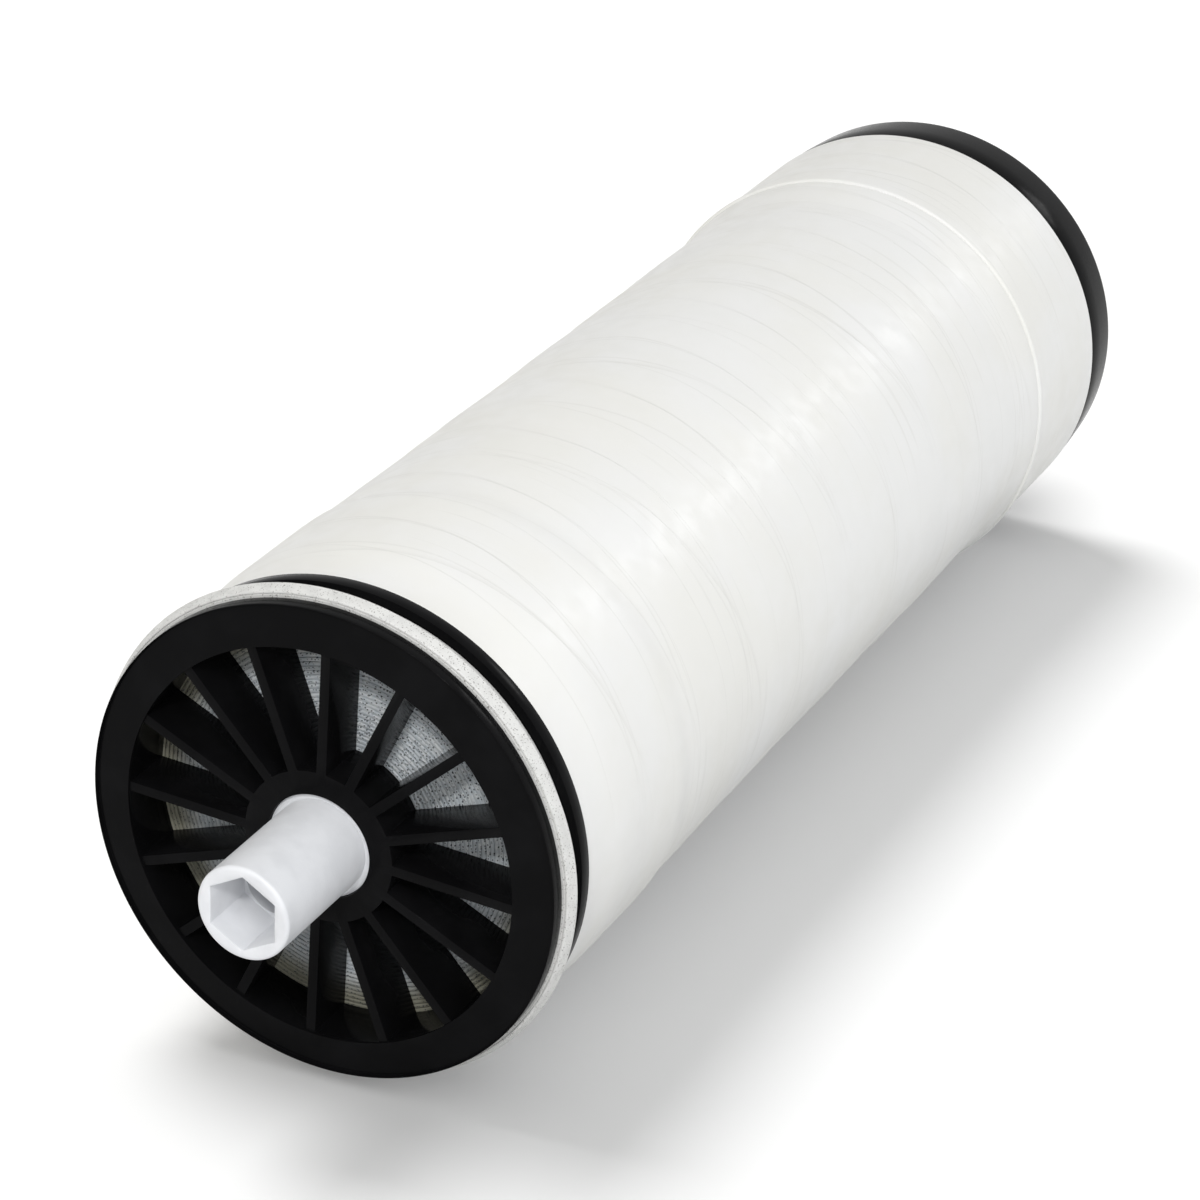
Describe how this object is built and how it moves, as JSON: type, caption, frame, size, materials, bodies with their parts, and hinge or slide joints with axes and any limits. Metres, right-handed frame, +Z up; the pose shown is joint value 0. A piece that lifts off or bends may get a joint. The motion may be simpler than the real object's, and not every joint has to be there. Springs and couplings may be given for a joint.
{
  "type": "ro membrane element",
  "caption": "Spiral-wound reverse osmosis element: tape-wrapped membrane roll on a central tube with hexagonal sockets, spoked black end caps and a lipped brine seal.",
  "frame": {"origin": "centre of the permeate tube's feed-end mouth, on the tube's axis", "axes": "+Y along the tube from the feed end to the brine end, +Z up as the element lies, +X to the right seen from the feed end"},
  "size_m": [0.1016, 0.3556, 0.1016],
  "materials": {
    "tube_plastic": "white moulded and turned plastic, satin",
    "membrane": "bluish white rolled sheet edges",
    "tape": "off-white wound tape, satin",
    "cap_plastic": "black moulded plastic, glossy",
    "seal_rubber": "pale grey moulded rubber, smooth"
  },
  "bodies": {
    "root": {"permeate_tube": "tube_plastic", "membrane_roll": "membrane", "outer_wrap": "tape", "brine_end_band": "tape", "feed_end_cap": "cap_plastic", "brine_end_cap": "cap_plastic", "brine_seal": "seal_rubber"}
  },
  "joints": []
}
